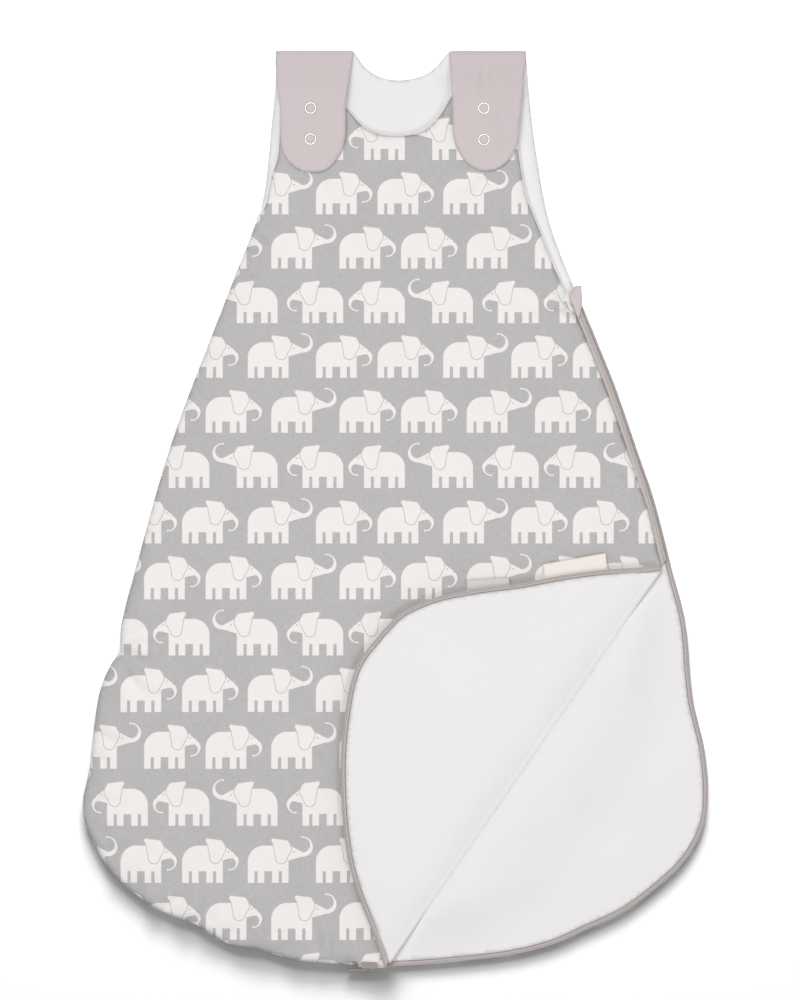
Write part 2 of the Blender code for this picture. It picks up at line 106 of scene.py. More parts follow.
def outline(node):
    """The closed outline of a flat CAD node, seen from above, anticlockwise."""
    mesh = frame["nodes"][node].data
    top = max(v.co.z for v in mesh.vertices) - 1e-5
    keys = {v.index: (round(v.co.x, 6), round(v.co.y, 6)) for v in mesh.vertices if v.co.z > top}
    uses = {}
    for face in mesh.polygons:
        corners = [keys.get(i) for i in face.vertices]
        if None in corners:
            continue
        for a, b in zip(corners, corners[1:] + corners[:1]):
            edge = frozenset((a, b))
            if len(edge) == 2:
                uses[edge] = uses.get(edge, 0) + 1
    nearby = {}
    for edge, count in uses.items():
        if count == 1:
            a, b = edge
            nearby.setdefault(a, []).append(b)
            nearby.setdefault(b, []).append(a)
    loop, ahead = [], min(nearby)
    while ahead not in loop[:1]:
        loop.append(ahead)
        ahead = next(p for p in nearby[ahead] if p not in loop[-2:-1])
    points = np.array(loop) / MM
    return points if signed_area(points) > 0 else points[::-1]


def unit(rows):
    """Rows scaled to a length of 1."""
    return rows / np.linalg.norm(rows, axis=1)[:, None]


def run_along(points):
    """How far along an open curve each of its points is."""
    return np.concatenate([[0], np.cumsum(np.linalg.norm(np.diff(points, axis=0), axis=1))])


def signed_area(points):
    x, y = points.T
    return 0.5 * float((x * np.roll(y, -1) - np.roll(x, -1) * y).sum())


def cubic(start, start_way, end, end_way, t):
    """The point at t, from 0 to 1, of a curve that leaves start and reaches end by the given ways."""
    return (
        start * (2 * t**3 - 3 * t**2 + 1)
        + start_way * (t**3 - 2 * t**2 + t)
        + end * (3 * t**2 - 2 * t**3)
        + end_way * (t**3 - t**2)
    )


def turns(ways):
    """How many degrees a closed outline turns at each point, from its edges as unit vectors."""
    return np.degrees(np.arccos(np.clip((ways * np.roll(ways, 1, 0)).sum(1), -1, 1)))


def refine(points, step, corner=32.0):
    """A closed outline again, with points about a step apart, smooth except at its corners."""
    count = len(points)
    ahead = np.roll(points, -1, 0) - points
    lengths = np.linalg.norm(ahead, axis=1)
    way = ahead / lengths[:, None]
    sharp = turns(way) > corner
    tangent = way + np.roll(way, 1, 0)
    tangent /= np.maximum(np.linalg.norm(tangent, axis=1), 1e-9)[:, None]
    result = []
    for i in range(count):
        j = (i + 1) % count
        start = way[i] if sharp[i] else tangent[i]
        end = way[i] if sharp[j] else tangent[j]
        pieces = max(1, round(lengths[i] / step))
        for k in range(pieces):
            result.append(cubic(points[i], start * lengths[i], points[j], end * lengths[i], k / pieces))
    return np.array(result)


def inside(points, loop):
    """Which points lie inside a closed outline."""
    x, y = points.T
    result = np.zeros(len(points), bool)
    for a, b in zip(loop, np.roll(loop, -1, 0)):
        crosses = (a[1] > y) != (b[1] > y)
        with np.errstate(divide="ignore", invalid="ignore"):
            at = (b[0] - a[0]) * (y - a[1]) / (b[1] - a[1]) + a[0]
        result ^= crosses & (x < at)
    return result


def to_edge(points, loop):
    """How far each point is from a closed outline."""
    ends = np.roll(loop, -1, 0)
    far = np.full(len(points), 1e9)
    for a, b, length in zip(loop, ends, np.linalg.norm(ends - loop, axis=1)):
        way = (b - a) / max(length, 1e-9)
        t = np.clip((points - a) @ way, 0, length)
        far = np.minimum(far, np.linalg.norm(points - a - t[:, None] * way, axis=1))
    return far


def nearest(points, marks):
    """How far each point is from the nearest mark."""
    tree = KDTree(len(marks))
    for number, mark in enumerate(marks):
        tree.insert((*mark, 0.0), number)
    tree.balance()
    return np.array([tree.find((*p, 0.0))[2] for p in points])


def fill(loop, step, marks=None):
    """A mesh of even triangles inside an outline, through the given marks: its points and its faces."""
    low, high = loop.min(0), loop.max(0)
    rows = np.arange(low[1] + step / 2, high[1], step * 0.866)
    grid = []
    for number, y in enumerate(rows):
        x = np.arange(low[0] + step * (0.5 if number % 2 else 1.0), high[0], step)
        grid.append(np.stack([x, np.full(len(x), y)], 1))
    grid = np.concatenate(grid)
    grid = grid[inside(grid, loop)]
    grid = grid[to_edge(grid, loop) > step * 0.55]
    if marks is not None:
        marks = marks[inside(marks, loop)]
        marks = marks[to_edge(marks, loop) > step * 0.4]
        grid = np.concatenate([grid[nearest(grid, marks) > step * 0.45], marks])
    points = np.concatenate([loop, grid])
    count = len(loop)
    edges = [(i, (i + 1) % count) for i in range(count)]
    found, _, faces, _, _, _ = delaunay_2d_cdt([Vector(p) for p in points], edges, [], 1, 1e-6)
    return np.array([tuple(p) for p in found]), [tuple(f) for f in faces]


def bump(distance, radius):
    """0 at an edge and 1 further in than the radius, round like a pillow's side."""
    t = np.clip(distance / radius, 0, 1)
    return np.sqrt(np.maximum(1 - (1 - t) ** 2, 0))


def ease(value, start, end):
    """0 before start and 1 after end, smoothly."""
    t = np.clip((value - start) / (end - start), 0, 1)
    return t * t * (3 - 2 * t)


class Ripple:
    """Soft seeded unevenness, as a sum of waves in all directions."""

    def __init__(self, seed, wavelength, waves=14):
        draw = np.random.default_rng(seed)
        angle = draw.uniform(0, 2 * math.pi, waves)
        number = 2 * math.pi / (wavelength * draw.uniform(0.6, 1.6, waves))
        self.vector = np.stack([np.cos(angle), np.sin(angle)]) * number
        self.phase = draw.uniform(0, 2 * math.pi, waves)
        self.scale = math.sqrt(2 / waves)

    def __call__(self, points):
        return np.sin(points @ self.vector + self.phase).sum(1) * self.scale


def creases(points, lines):
    """The height that a list of creases gives: (from, to, width, depth), deepest at from."""
    height = np.zeros(len(points))
    for start, end, width, depth in lines:
        start, end = np.array(start, float), np.array(end, float)
        length = np.linalg.norm(end - start)
        way = (end - start) / length
        across = np.array((-way[1], way[0]))
        t = (points - start) @ way / length
        s = (points - start) @ across + 0.12 * length * np.sin(2.4 * t)
        fade = ease(t, -0.12, 0.12) * (1 - ease(t, 0.35, 1.0))
        spread = 1.25 * width * (1 + 0.7 * np.clip(t, 0, 1))
        groove = -np.exp(-((s / spread) ** 2)) + 0.55 * np.exp(-(((np.abs(s) - 1.9 * spread) / spread) ** 2))
        height += 2.3 * depth * fade * groove
    return height


def fold_side(points):
    """How far left of the diagonal fold each point is."""
    return (points - FOLD_POINT[:2]) @ FOLD_LEFT


def along_fold(points):
    """How far along the diagonal fold each point is, from its lower end."""
    return (points - FOLD_POINT[:2]) @ FOLD_ALONG


def from_fold(along, side):
    """The points at the given places along and left of the diagonal fold."""
    return FOLD_POINT[:2] + along[:, None] * FOLD_ALONG + side[:, None] * FOLD_LEFT


# ---- meshes


def new_object(name, verts, faces, body, flat, finish):
    """A mesh object from points in millimetres, which rides on a body if one is given.

    The flat place of each point is where it lies on the cloth before that is bent.
    """
    mesh = bpy.data.meshes.new(name)
    mesh.from_pydata([tuple(v) for v in np.asarray(verts) * MM], [], faces)
    layer = mesh.uv_layers.new(name="Flat")
    corner = np.zeros(len(mesh.loops), np.int32)
    mesh.loops.foreach_get("vertex_index", corner)
    layer.data.foreach_set("uv", (np.asarray(flat) * MM)[corner].astype(np.float32).ravel())
    mesh.shade_smooth()
    mesh.update()
    mesh.materials.append(finish)
    made = bpy.data.objects.new(name, mesh)
    bpy.context.scene.collection.objects.link(made)
    if body:
        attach(made, body)
    return made


def thicken(piece, thickness=CLOTH):
    """Give a cloth its thickness, down from the surface that was drawn."""
    solid = piece.modifiers.new("cloth_thickness", "SOLIDIFY")
    solid.thickness = thickness * MM
    solid.offset = -1.0
    solid.use_even_offset = False
    return piece


def closed_faces(faces, count, rim):
    """The faces of a closed piece with two sides of count points each, whose first points are its rim."""
    sides = [(i, (i + 1) % rim, (i + 1) % rim + count, i + count) for i in range(rim)]
    return [f[::-1] for f in faces] + [tuple(i + count for i in f) for f in faces] + sides


def pad(name, loop, low, high, body, finish, step=COARSE):
    """A closed pad between two heights."""
    points, faces = fill(loop, step)
    verts = np.concatenate([np.column_stack([points, low(points)]), np.column_stack([points, high(points)])])
    every = closed_faces(faces, len(points), len(loop))
    return new_object(name, verts, every, body, np.concatenate([points, points]), finish)


# ---- shader helpers


def operator(name, turned=False):
    """The method of a Value that works one operation out with a math node."""
    return lambda one, other: Value.math(name, *((other, one) if turned else (one, other)))


class Value:
    """A number in a shader's node tree, which ordinary arithmetic works on."""

    tree = None

    def __init__(self, source):
        self.source = source

    def link(self, socket):
        if isinstance(self.source, (int, float)):
            socket.default_value = self.source
        else:
            Value.tree.links.new(self.source, socket)

    @staticmethod
    def math(operation, *values):
        node = Value.tree.nodes.new("ShaderNodeMath")
        node.operation = operation
        for socket, value in zip(node.inputs, values):
            as_value(value).link(socket)
        return Value(node.outputs[0])

    __add__ = __radd__ = operator("ADD")
    __sub__ = operator("SUBTRACT")
    __rsub__ = operator("SUBTRACT", turned=True)
    __mul__ = __rmul__ = operator("MULTIPLY")
    __truediv__ = operator("DIVIDE")
    __gt__ = operator("GREATER_THAN")
    __mod__ = operator("FLOORED_MODULO")

    def __neg__(self):
        return self * -1.0

    def floor(self):
        return Value.math("FLOOR", self)

    def size(self):
        return Value.math("ABSOLUTE", self)


def as_value(value):
    return value if isinstance(value, Value) else Value(float(value))


def lowest(*values):
    return reduce(lambda a, b: Value.math("MINIMUM", a, b), values)


def highest(*values):
    return reduce(lambda a, b: Value.math("MAXIMUM", a, b), values)


def length_of(x, y):
    return Value.math("SQRT", x * x + y * y)


def wave(value, pitch):
    return Value.math("SINE", value * (2 * math.pi / pitch))


def between(value, low, high):
    """How far a value is from low to high, as 0 to 1, with soft ends."""
    node = Value.tree.nodes.new("ShaderNodeMapRange")
    node.interpolation_type = "SMOOTHSTEP"
    for name, number in (("Value", value), ("From Min", low), ("From Max", high)):
        as_value(number).link(node.inputs[name])
    return Value(node.outputs["Result"])


def blended(factor, low, high):
    """Low where the factor is 0 and high where it is 1."""
    return as_value(low) + factor * (as_value(high) - low)


def uneven_capsule(x, y, a, b, radius_a, radius_b):
    """The signed distance to a tapering bar from a to b with round ends."""
    dx, dy = b[0] - a[0], b[1] - a[1]
    t = ((x - a[0]) * dx + (y - a[1]) * dy) / (dx * dx + dy * dy)
    t = highest(lowest(t, 1.0), 0.0)
    return length_of(x - a[0] - t * dx, y - a[1] - t * dy) - blended(t, radius_a, radius_b)


def linear(red, green, blue):
    """A linear colour from the 0 to 255 values of the screen."""
    return tuple(((c / 255 + 0.055) / 1.055) ** 2.4 if c > 10 else c / 3294.6 for c in (red, green, blue))


class Finish:
    """A procedural material while it is being made."""

    def __init__(self, name, roughness=0.9, sheen=0.0, metallic=0.0, specular=0.25):
        self.material = bpy.data.materials.new(name)
        self.material.use_nodes = True
        self.tree = Value.tree = self.material.node_tree
        self.shader = self.tree.nodes["Principled BSDF"]
        looks = {"Roughness": roughness, "Metallic": metallic, "Specular IOR Level": specular}
        looks.update({"Sheen Weight": sheen, "Sheen Roughness": 0.5})
        for socket, value in looks.items():
            self.shader.inputs[socket].default_value = value

    def node(self, kind, **inputs):
        made = self.tree.nodes.new(kind)
        for name, value in inputs.items():
            made.inputs[name.replace("_", " ")].default_value = value
        return made

    def flat(self):
        """The cloth's own coordinates across and along, in millimetres."""
        place = self.tree.nodes.new("ShaderNodeUVMap")
        place.uv_map = "Flat"
        split = self.tree.nodes.new("ShaderNodeSeparateXYZ")
        self.tree.links.new(place.outputs[0], split.inputs[0])
        return Value(split.outputs[0]) / MM, Value(split.outputs[1]) / MM

    def noise(self, x, y, scale, detail=2.0):
        """Soft noise about 0 of the given coordinates."""
        joined = self.tree.nodes.new("ShaderNodeCombineXYZ")
        as_value(x).link(joined.inputs[0])
        as_value(y).link(joined.inputs[1])
        made = self.node("ShaderNodeTexNoise", Scale=scale, Detail=detail)
        made.noise_dimensions = "2D"
        self.tree.links.new(joined.outputs[0], made.inputs["Vector"])
        return Value(made.outputs["Fac"]) - 0.5

    def body_noise(self, scale, detail=3.0):
        """Soft noise about 0 of the object's own coordinates, in metres."""
        place = self.tree.nodes.new("ShaderNodeTexCoord")
        made = self.node("ShaderNodeTexNoise", Scale=scale, Detail=detail)
        self.tree.links.new(place.outputs["Object"], made.inputs["Vector"])
        return Value(made.outputs["Fac"]) - 0.5

    def tint(self, socket, colour):
        """Give a colour's or a vector's socket a plain colour or another node's."""
        if isinstance(colour, tuple):
            socket.default_value = (*colour, 1.0)[: len(socket.default_value)]
        else:
            self.tree.links.new(colour, socket)

    def mix(self, factor, low, high):
        """A colour between two colours."""
        made = self.tree.nodes.new("ShaderNodeMix")
        made.data_type = "RGBA"
        as_value(factor).link(made.inputs[0])
        self.tint(made.inputs[6], low)
        self.tint(made.inputs[7], high)
        return made.outputs[2]

    def shade(self, colour, amount):
        """A colour made lighter or darker by a share that lies about 0."""
        made = self.tree.nodes.new("ShaderNodeVectorMath")
        made.operation = "SCALE"
        self.tint(made.inputs[0], colour)
        (1.0 + amount).link(made.inputs["Scale"])
        return made.outputs[0]

    def done(self, colour, height=None, depth=0.1, roughness=None):
        """Connect the colour, and the relief whose height is in parts of depth millimetres."""
        self.tree.links.new(colour, self.shader.inputs["Base Color"])
        if height is not None:
            relief = self.node("ShaderNodeBump", Strength=1.0, Distance=depth * MM)
            height.link(relief.inputs["Height"])
            self.tree.links.new(relief.outputs[0], self.shader.inputs["Normal"])
        if roughness is not None:
            roughness.link(self.shader.inputs["Roughness"])
        return self.material


# ---- the print

ROW_PITCH = 42.34
FIRST_ROW = 266.7  # where the feet of one row that faces left stand
GROUP = 148.5  # three animals, one with its trunk up
SECOND, THIRD = 51.8, 98.6  # the other two of a group, from the first
GROUP_STARTS = (89.8, -94.6, -112.5)  # of the rows, from the one that faces left upwards
ROW_BOW = 5.0  # the rows bulge this far towards the head in the middle of the bag
ROW_SPAN = 593.0
BODY = 31.0  # an animal's length without its trunk
LEG = 8.6
WEAVE = 0.62  # the printed cotton's weave repeats at this distance
RIB, TWILL = 0.9, 0.8  # and the zip tape's ribs and its twill


def elephant(x, y, raised):
    """Signed distances to a plain elephant that faces +x: the whole, its ear, its eye."""
    from_middle = (x - BODY / 2).size()
    corner_x = highest(from_middle - (BODY / 2 - 12.0), 0.0)
    corner_y = highest((y - 14.0).size() - 1.6, 0.0)
    trunk_body = length_of(corner_x, corner_y) - 12.0
    lower = highest(from_middle - BODY / 2, (y - 8.0).size() - 8.0)
    wide_gap = highest(from_middle - 2.9, y - LEG)
    slots = highest((from_middle - 9.2).size() - 1.2, y - LEG)
    stance = highest(lowest(trunk_body, lower), -lowest(wide_gap, slots))
    ear = lowest(
        uneven_capsule(x, y, (19.6, 31.4), (26.0, 26.6), 2.0, 6.6),
        uneven_capsule(x, y, (26.4, 25.0), (25.4, 18.6), 7.0, 4.6),
    )
    muzzle = (blended(raised, 37.2, 41.8), blended(raised, 20.6, 21.2))
    head = uneven_capsule(x, y, (29.2, 22.4), muzzle, 6.6, blended(raised, 2.5, 1.5))
    middle_x = blended(raised, 36.6, 42.0)
    middle_y = blended(raised, 15.0, 27.6)
    radius = blended(raised, 5.2, 6.4)
    side = x - middle_x
    up = (y - middle_y) * blended(raised, -1.0, 1.0)
    slim = between(up, -radius, radius)
    ring = (length_of(side, up) - radius).size() - blended(slim, 1.6, 0.45)
    curl = highest(ring, -side - 1.0)
    tip = length_of(side + 0.6, up - radius) - 0.7
    whole = lowest(stance, ear, head, curl, tip)
    eye = length_of(x - 35.2, y - 23.0) - 0.5
    return whole, ear, eye


def print_cloth(name, colour):
    """Grey cotton printed with rows of plain elephants that face left, right and right."""
    finish = Finish(name, roughness=0.9, sheen=0.02, specular=0.1)
    x, y = finish.flat()
    y = y - ROW_BOW * Value.math("SINE", (FIRST_ROW - y) * (math.pi / ROW_SPAN))
    row = ((y - FIRST_ROW) / ROW_PITCH).floor()
    feet = y - FIRST_ROW - row * ROW_PITCH
    kind = row % 3.0
    left = 1.0 - (kind > 0.5)
    start = blended(kind > 1.5, blended(kind > 0.5, GROUP_STARTS[0], GROUP_STARTS[1]), GROUP_STARTS[2])
    facing = x * blended(left, 1.0, -1.0)
    along = ((facing - start + 1.5) % GROUP) - 1.5
    second = along > SECOND - 1.3
    third = along > THIRD - 1.3
    local = along - second * SECOND - third * (THIRD - SECOND)
    whole, ear, eye = elephant(local, feet, 1.0 - second)
    ink = between(whole, 0.28, -0.28)
    line = between((ear + 0.15).size(), 0.42, 0.1) * between(whole, 0.3, -0.25)
    dot = between(eye, 0.25, -0.2)
    threads = finish.noise(x * 0.2, y * 1.5, 1.0, 3.0) + finish.noise(x * 1.5, y * 0.2, 1.0, 3.0)
    cloud = finish.noise(x, y, 0.03)
    ground = finish.shade(colour, threads * 0.22 + cloud * 0.06)
    printed = finish.shade(linear(239, 236, 233), threads * 0.05)
    drawn = finish.mix(highest(line * 0.75, dot * 0.85), printed, linear(168, 160, 156))
    weave = wave(x, WEAVE) * wave(y, WEAVE) * 0.5 + threads * 1.2
    return finish.done(finish.mix(ink, ground, drawn), weave + ink * 0.3, depth=0.06)


def soft_cloth(name, colour, grain=0.05, sheen=0.2, pitch=0.9, depth=0.08):
    """A plain knitted or woven cloth."""
    finish = Finish(name, roughness=0.95, sheen=sheen, specular=0.1)
    x, y = finish.flat()
    fuzz = finish.noise(x, y, 0.9, 4.0)
    cloud = finish.noise(x, y, 0.02)
    rib = wave(x, pitch) * 0.5 + wave(y, pitch) * 0.4
    shaded = finish.shade(colour, fuzz * grain + cloud * grain * 0.6)
    return finish.done(shaded, rib * 0.6 + fuzz * 1.5, depth=depth)


def tape_cloth(name, colour, seam):
    """A woven zip tape: ribs across, and a painted shadow line along its inner edge, where the cloth meets
    it.
    """
    finish = Finish(name, roughness=0.75, sheen=0.1)
    along, across = finish.flat()
    rib = wave(along, RIB) * 0.5
    twill = wave(along + across, TWILL) * 0.5
    grime = finish.noise(along, across, 0.4, 3.0)
    # A thin line of painted shade along the inner edge, where the cloth meets the tape; seam is its colour.
    line = between((across - 0.35).size(), 0.5, 0.1)
    shaded = finish.shade(finish.mix(line * 0.3, colour, seam), rib * 0.05 + grime * 0.12)
    return finish.done(shaded, rib * 0.5 + twill * 0.5, depth=0.08)


def metal(name, colour, roughness):
    """Plated metal with faint brushing and dull spots."""
    finish = Finish(name, roughness=roughness, metallic=1.0, specular=0.5)
    spots = finish.body_noise(900.0)
    wear = finish.body_noise(4000.0, 2.0)
    shaded = finish.shade(colour, spots * 0.08)
    return finish.done(shaded, wear, depth=0.008, roughness=roughness + spots * 0.1)


PRINT = print_cloth("print_cotton", linear(187, 185, 185))
LINING = soft_cloth("lining_jersey", linear(235, 233, 234), grain=0.03, sheen=0.05)
TRIM = soft_cloth("trim_cotton", linear(206, 196, 197), grain=0.05, sheen=0.05, pitch=0.55, depth=0.05)
WADDING = soft_cloth("quilt_wadding", linear(238, 238, 234), grain=0.1, sheen=0.3, depth=0.3)
LABEL = soft_cloth("label_weave", linear(240, 233, 226), grain=0.06, sheen=0.02, pitch=0.5, depth=0.05)
CARE = soft_cloth("care_label_weave", linear(212, 208, 203), grain=0.05, sheen=0.02, pitch=0.5, depth=0.05)
# The tape's second colour is the painted shade of the line along its inner edge.
TAPE = tape_cloth("zip_tape_weave", linear(196, 188, 185), linear(118, 110, 107))
TEETH = soft_cloth("coil_plastic", linear(200, 193, 190), grain=0.04, sheen=0.0, pitch=0.7, depth=0.02)
METAL = metal("plated_metal", linear(228, 224, 220), 0.4)
DARK_METAL = metal("slider_metal", linear(132, 126, 122), 0.5)


# ---- the bag's surfaces


def edges_where(loop, test):
    """Which edges of a closed outline have a middle that passes a test."""
    middle = (loop + np.roll(loop, -1, 0)) / 2
    return np.array([bool(test(p)) for p in middle])


def from_edges(points, loop, keep):
    """How far each point is from the chosen edges of an outline."""
    marks = []
    for a, b, wanted in zip(loop, np.roll(loop, -1, 0), keep):
        if wanted:
            pieces = max(1, int(np.linalg.norm(b - a) / MARK_STEP))
            marks += [a + (b - a) * k / pieces for k in range(pieces + 1)]
    return nearest(points, marks) if marks else np.full(len(points), 1e3)


TAPES = [outline(f"zip_tape_{place}") for place in ("side", "end", "back")]
NEAR_TAPE = 4.0
NEAR_FOLD = 1.2
UNDERARM_LEFT = 222.0
UNDERARM_RIGHT = 160.0


def at_tape(point):
    return any(to_edge(point[None], tape)[0] < NEAR_TAPE for tape in TAPES)


def at_fold(point):
    return abs(fold_side(point[None])[0]) < NEAR_FOLD


def at_opening(point):
    return point[1] > (UNDERARM_LEFT if point[0] < 0 else UNDERARM_RIGHT)


def drawn_in(loop, keep, amount):
    """An outline moved in a little along the chosen edges."""
    ahead = unit(np.roll(loop, -1, 0) - np.roll(loop, 1, 0))
    chosen = (keep | np.roll(keep, 1))[:, None]
    return loop + np.column_stack([-ahead[:, 1], ahead[:, 0]]) * amount * chosen


class Panel:
    """A panel's refined outline, with its edges sorted by how they are finished."""

    def __init__(self, node, step, tucked=0.0):
        self.loop = refine(outline(node), step)
        self.loop = drawn_in(self.loop, edges_where(self.loop, at_opening), tucked)
        self.fold = edges_where(self.loop, at_fold)
        tape = edges_where(self.loop, at_tape)
        opening = edges_where(self.loop, at_opening)
        self.zipped = tape & ~self.fold & ~opening
        self.open = opening & ~self.fold
        self.sewn = ~(self.fold | self.zipped | self.open)

    def distances(self, points):
        return [from_edges(points, self.loop, kind) for kind in (self.sewn, self.open, self.zipped)]


BROAD = Ripple(3, 95.0)
MIDDLE = Ripple(5, 38.0)
FINE_RIPPLE = Ripple(8, 15.0)
PUCKER = Ripple(13, 20.0)

FRONT_CREASES = [
    ((-209, -107), (-165, -118), 3.2, 1.1),
    ((-210, -112), (-176, -150), 3.0, 1.0),
    ((-206, -96), (-170, -78), 3.0, 0.8),
    ((-36, -344), (-37, -292), 2.6, 1.3),
    ((-46, -343), (-50, -305), 2.4, 0.8),
    ((-152, -315), (-140, -284), 3.0, 0.9),
    ((-175, -304), (-158, -276), 3.0, 0.8),
    ((-100, -334), (-98, -300), 2.6, 0.6),
    ((-228, -170), (-196, -178), 3.0, 0.7),
    ((-236, -222), (-200, -214), 3.2, 0.7),
    ((196, -34), (140, 22), 4.0, 1.0),
    ((190, -38), (112, -14), 3.8, 0.8),
    ((188, -8), (150, 60), 3.8, 0.8),
    ((176, 30), (118, 44), 4.5, 0.6),
    ((134, 156), (84, 150), 3.8, 1.0),
    ((122, 182), (78, 190), 3.8, 0.7),
    ((-104, 222), (-66, 190), 4.2, 0.9),
    ((-121, 182), (-84, 158), 4.5, 0.6),
    ((-58, 258), (-40, 226), 3.6, 0.7),
    ((62, 256), (40, 228), 3.6, 0.7),
    ((-60, -338), (-78, -296), 3.4, 0.8),
    ((-128, -328), (-112, -290), 3.4, 0.8),
    ((-196, -292), (-160, -262), 3.6, 0.9),
    ((-222, -262), (-182, -240), 3.6, 0.8),
    ((-44, -250), (-74, -262), 4.0, 0.6),
    ((-46, -170), (-80, -176), 4.0, 0.5),
]


def uneven(points, size):
    return size * (0.55 * BROAD(points) + 0.3 * MIDDLE(points) + 0.12 * FINE_RIPPLE(points))


def under_flap(points):
    """1 where the turned-back corner lies on the front, 0 well away from it."""
    far = to_edge(points, FLAP_LOOP)
    return np.where(inside(points, FLAP_LOOP), 1.0, 1 - ease(far, 12, 42))


def dip_beside_flap(points):
    """How far the front sinks along the turned-back corner's free edge, which presses on it."""
    far = to_edge(points, FLAP_LOOP)
    out = np.where(inside(points, FLAP_LOOP), -far, far)
    return 3.4 * ease(out, -7, 1) * (1 - ease(out, 5, 28)) * ease(fold_side(points), 2, 12)


FLAP_LOOP = refine(outline("flap_lining"), 6.0)


def front_top(panel, points):
    """The front's printed surface."""
    sewn, opening, zipped = panel.distances(points)
    seam = 1 - bump(sewn, 22)
    height = FRONT_TOP - 6.6 * seam - 2.2 * (1 - bump(opening, 6)) - 3.4 * (1 - bump(zipped, 13))
    free = (1 - under_flap(points)) * ease(np.min((sewn, opening, zipped), 0), 0, 10)
    height += free * (uneven(points, 1.3) + 0.3) - dip_beside_flap(points)
    pucker = np.exp(-((sewn - 9) / 8) ** 2) * PUCKER(points) * 0.8
    return height + (creases(points, FRONT_CREASES) + pucker) * (1 - under_flap(points))


def hollow_beside_flap(points):
    """How much thinner the wadding is where the front sinks beside the turned-back corner."""
    return 4.0 * (1 - ease(to_edge(points, FLAP_LOOP), 14, 34))


def front_bottom(panel, points):
    """The front's lining, from below."""
    sewn, opening, _ = panel.distances(points)
    return FRONT_BOTTOM + 0.8 - 1.1 * (1 - bump(sewn, 10)) + 2.6 * (1 - bump(opening, 6))


def shoulder(points):
    """0 over the bag, and 1 at the shoulders, which rise to meet the straps' folds."""
    return ease(points[:, 1], SHOULDER_Y, STRAP_TURN_Y)


def back_top(panel, points):
    """The back's lining."""
    sewn, opening, zipped = panel.distances(points)
    edge = np.min((sewn, opening, zipped), 0)
    height = BACK_TOP - 1.0 * (1 - bump(zipped, 16))
    height = height - 0.5 * (1 - bump(sewn, 6)) - 1.5 * (1 - bump(opening, 8))
    height += ease(edge, 2, 25) * uneven(points + 400, 0.45)
    return height + crest(points) * ease(edge, 0, 50) + 4.4 * shoulder(points)


SHOULDER_Y = 318.0
CREST = 14.0  # how far the back's lining puffs up along the fold
CREST_ROWS = (-8.0, -5.6, -3.6, -2.2, -1.4, -0.7, 0.2, 1.2)  # where its mesh has rows, left of the fold


def crest(points):
    """The rise of the back's lining, which meets the roll of the turned-back corner."""
    side = fold_side(points)
    valley = 5.2 * np.exp(-np.maximum(-side - 1.0, 0) / 5.5)
    beside = CREST * (1 - ease(-side, 10, 86)) - valley
    return np.maximum(beside, 0) * (1 - ease(side, -1.4, 1.0))


def crest_marks():
    """Rows of points along the fold, so that the lining can drop steeply below the roll."""
    low, high = node_box("flap_lining")
    along = np.arange(-10.0, np.linalg.norm((high - low)[:2]) + 40.0, FINE)
    return np.concatenate([from_fold(along, np.full(len(along), side)) for side in CREST_ROWS])


def back_bottom(panel, points):
    """The back's printed surface, which lies on what is under the bag."""
    sewn, opening, zipped = panel.distances(points)
    height = 5.4 * (1 - bump(sewn, 16)) + 3.6 * (1 - bump(opening, 12)) + 2.9 * (1 - bump(zipped, 12))
    return height + CLOTH + 3.4 * shoulder(points)


# ---- the panels


def make_panel_cloth(name, node, height, finish, step, facing=1, tucked=0.0, marks=None):
    """One cloth of a panel, at the given height; facing -1 turns its outer side down."""
    panel = Panel(node, step, tucked)
    points, faces = fill(panel.loop, step, marks)
    if facing < 0:
        faces = [f[::-1] for f in faces]
    verts = np.column_stack([points, height(panel, points)])
    piece = thicken(new_object(name, verts, faces, "root", points, finish))
    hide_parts(node)
    return piece, panel


def make_pad(name, node, low, high, body):
    """The wadding of a panel, between two heights."""
    loop = refine(outline(node), COARSE)
    piece = pad(name, loop, low, high, body, WADDING)
    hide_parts(node)
    return piece


def make_panels():
    """The back and the front, each of a printed cloth, a lining and the wadding between them."""
    _, back = make_panel_cloth(
        "back_print", "back_outer", back_bottom, PRINT, 4.0, facing=-1, tucked=1.8
    )
    piece, lining = make_panel_cloth(
        "back_lining_cloth", "back_lining", back_top, LINING, FINE,
        marks=crest_marks(),
    )
    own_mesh(piece)
    _, front = make_panel_cloth(
        "front_print", "front_outer", front_top, PRINT, FINE
    )
    _, inner = make_panel_cloth(
        "front_lining_cloth", "front_lining", front_bottom, LINING, 5.0,
        facing=-1, tucked=-1.6,
    )
    margin = 1.3

    def back_wadding_top(p):
        return np.maximum(
            np.minimum(back_top(lining, p), BACK_LEVEL) - CLOTH - 0.3, back_bottom(back, p) + margin
        )

    def front_wadding_top(p):
        return np.maximum(
            front_top(front, p) - CLOTH - 3.0 - hollow_beside_flap(p), front_bottom(inner, p) + 0.6
        )

    make_pad(
        "back_wadding", "back_padding", lambda p: back_bottom(back, p) + CLOTH * 0.5 + margin * 0.4,
        back_wadding_top, "root",
    )
    make_pad(
        "front_wadding", "front_padding", lambda p: front_bottom(inner, p) + 0.5, front_wadding_top,
        "root",
    )


# ---- the turned-back corner

LIP_REACH = 1.7  # how far the roll of the fold stands out past the fold line, near its top
ROLL_LOW = 8.3
FLAP_LEVEL = 20.2
LINING_BEND, PRINT_BEND = (9.3, 15.8), (13.6, 14.8)  # heights for each one's bend with the hinge, which blend_at_fold does not use
LOWEST_AT_FOLD = 16.2
ROLL_LENGTH = 12.0
STUB = 9.0


